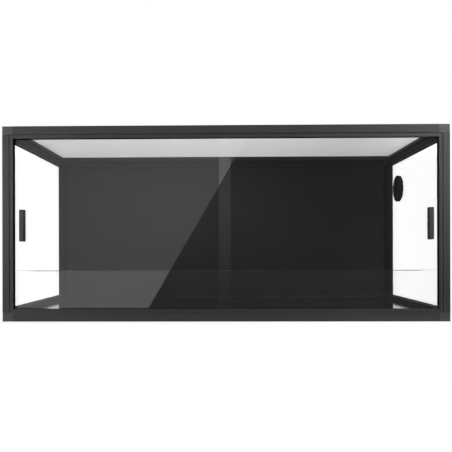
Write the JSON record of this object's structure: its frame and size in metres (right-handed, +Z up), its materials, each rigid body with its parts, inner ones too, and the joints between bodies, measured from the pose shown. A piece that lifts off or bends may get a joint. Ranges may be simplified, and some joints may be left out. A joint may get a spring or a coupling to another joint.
{
  "type": "glass terrarium",
  "caption": "Wide low glass terrarium with a black profile frame, overlapping sliding front doors, a clear guard behind them, a lift-off mesh lid and a turning cable port.",
  "frame": {"origin": "on the ground, under the middle of the profile frame; the door handles stand a few millimetres proud of the frame at the front", "axes": "+X to the viewer's right along the long side, the doors face -Y, +Z up"},
  "size_m": [0.914, 0.4666, 0.401],
  "materials": {
    "frame_coating": "satin black powder coat on extruded profile",
    "lid_coating": "satin black powder coat",
    "corner_plastic": "fine-grained black moulding",
    "track_plastic": "black extruded plastic",
    "screw_steel": "blackened",
    "pane_glass": "clear polished",
    "door_glass": "clear polished, ground edges",
    "guard_glass": "clear polished",
    "back_board": "fine matte black",
    "base_board": "glossy black",
    "port_plastic": "satin black moulding",
    "handle_plastic": "satin black moulding",
    "adhesive_pad": "black foam tape",
    "key_plastic": "black moulding",
    "spline_rubber": "ribbed black cord",
    "mesh_wire": "bright woven wire"
  },
  "bodies": {
    "frame": {"rail_bottom_front": "frame_coating", "rail_bottom_rear": "frame_coating", "rail_bottom_left": "frame_coating", "rail_bottom_right": "frame_coating", "corner_bottom_front_left": "corner_plastic", "corner_bottom_front_right": "corner_plastic", "corner_bottom_rear_left": "corner_plastic", "corner_bottom_rear_right": "corner_plastic", "rail_top_front": "frame_coating", "rail_top_rear": "frame_coating", "rail_top_left": "frame_coating", "rail_top_right": "frame_coating", "corner_top_front_left": "corner_plastic", "corner_top_front_right": "corner_plastic", "corner_top_rear_left": "corner_plastic", "corner_top_rear_right": "corner_plastic", "post_front_left": "frame_coating", "post_front_right": "frame_coating", "post_rear_left": "frame_coating", "post_rear_right": "frame_coating", "lower_door_track": "track_plastic", "upper_door_track": "track_plastic", "left_door_jamb": "track_plastic", "right_door_jamb": "track_plastic", "guard_holder_left": "track_plastic", "guard_holder_right": "track_plastic", "frame_screws": "screw_steel", "glass_left": "pane_glass", "glass_right": "pane_glass", "back_panel": "back_board", "base_panel": "base_board", "port_flange": "port_plastic", "port_ring": "port_plastic"},
    "left_door": {"left_door_glass": "door_glass", "left_handle": "handle_plastic", "left_handle_pad": "adhesive_pad"},
    "right_door": {"right_door_glass": "door_glass", "right_handle": "handle_plastic", "right_handle_pad": "adhesive_pad"},
    "screen_lid": {"lid_bar_front": "lid_coating", "lid_bar_rear": "lid_coating", "lid_bar_left": "lid_coating", "lid_bar_right": "lid_coating", "lid_corner_keys": "key_plastic", "lid_spline": "spline_rubber", "screen_mesh": "mesh_wire"},
    "guard": {"substrate_guard": "guard_glass"},
    "cable_port_cap": {"port_cap": "port_plastic"}
  },
  "joints": [
    {"name": "left_door_slide", "type": "slide", "parent": "frame", "child": "left_door", "axis": [1, 0, 0], "range_m": [0, 0.398]},
    {"name": "right_door_slide", "type": "slide", "parent": "frame", "child": "right_door", "axis": [1, 0, 0], "range_m": [-0.398, 0]},
    {"name": "lid_lift", "type": "slide", "parent": "frame", "child": "screen_lid", "axis": [0, 0, 1], "range_m": [0, 0.12]},
    {"name": "guard_lift", "type": "slide", "parent": "frame", "child": "guard", "axis": [0, 0, 1], "range_m": [0, 0.1]},
    {"name": "port_cap_turn", "type": "hinge", "parent": "frame", "child": "cable_port_cap", "pos_m": [0.4495, 0.1265, 0.3055], "axis": [1, 0, 0], "range_deg": [0, 120]}
  ]
}
